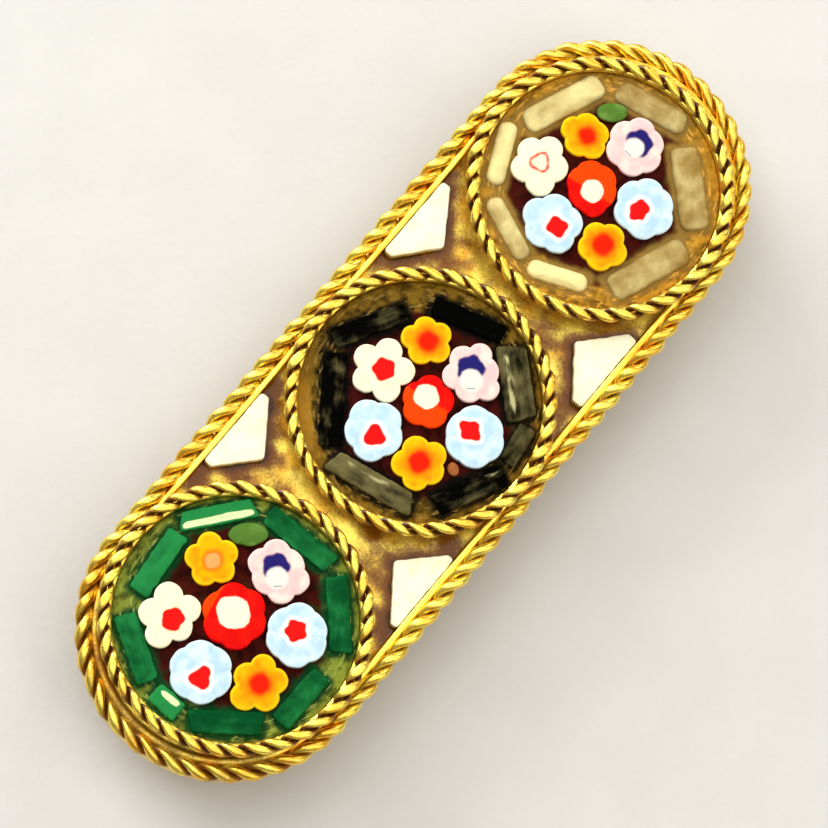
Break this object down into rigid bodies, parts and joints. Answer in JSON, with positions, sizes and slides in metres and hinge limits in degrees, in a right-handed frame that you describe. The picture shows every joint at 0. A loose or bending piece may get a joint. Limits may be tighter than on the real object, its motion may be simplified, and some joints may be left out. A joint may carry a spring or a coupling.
{
  "type": "micromosaic bar brooch",
  "caption": "Gilt bar brooch with round ends: twisted rope border, round cells of glass flower mosaic framed by glass sticks, ivory tiles between them, pin on the back.",
  "frame": {"origin": "on the surface that the brooch lies on, below the middle of the black cell; it rests on the hinge and the catch of its pin", "axes": "+X along the brooch from the green cell to the beige cell, +Y across it towards the upper edge, +Z out of the decorated face"},
  "size_m": [0.045, 0.015, 0.0056],
  "materials": {
    "gilt_metal": "gilt, polished ridges and dark grooves",
    "cement": "dark brown mosaic cement, matte and grainy",
    "glass_emerald": "opaque streaky emerald glass, polished",
    "glass_black": "opaque black glass with grey streaks, polished",
    "glass_beige": "opaque beige glass, softly rounded",
    "glass_ivory": "opaque ivory glass, polished",
    "glass_tan": "opaque tan glass",
    "glass_moss": "opaque moss green glass",
    "glass_white": "opaque polished glass, cream white with a red core",
    "glass_orange": "opaque polished glass, yellow orange with a soft red core",
    "glass_pink": "opaque polished glass, pale pink with a dark blue crescent",
    "glass_blue": "opaque polished glass, pale blue with a red core in white",
    "glass_red": "opaque polished glass, red with a white dot"
  },
  "bodies": {
    "root": {"bars_beige": "glass_beige", "bars_black": "glass_black", "bars_green": "glass_emerald", "cement_bed_beige": "cement", "cement_bed_black": "cement", "cement_bed_green": "cement", "chip_black": "glass_tan", "chip_green": "glass_moss", "flower_beige_blue_left": "glass_blue", "flower_beige_blue_low": "glass_blue", "flower_beige_orange_low": "glass_orange", "flower_beige_orange_top": "glass_orange", "flower_beige_pink": "glass_pink", "flower_beige_red": "glass_red", "flower_beige_white": "glass_white", "flower_black_blue_left": "glass_blue", "flower_black_blue_low": "glass_blue", "flower_black_orange_low": "glass_orange", "flower_black_orange_top": "glass_orange", "flower_black_pink": "glass_pink", "flower_black_red": "glass_red", "flower_black_white": "glass_white", "flower_green_blue_left": "glass_blue", "flower_green_blue_right": "glass_blue", "flower_green_orange_low": "glass_orange", "flower_green_orange_top": "glass_orange", "flower_green_pink": "glass_pink", "flower_green_red": "glass_red", "flower_green_white": "glass_white", "leaf_beige": "glass_moss", "pin_finding": "gilt_metal", "setting": "gilt_metal", "tile_left_low": "glass_ivory", "tile_left_top": "glass_ivory", "tile_right_low": "glass_ivory", "tile_right_top": "glass_ivory"}
  },
  "joints": []
}
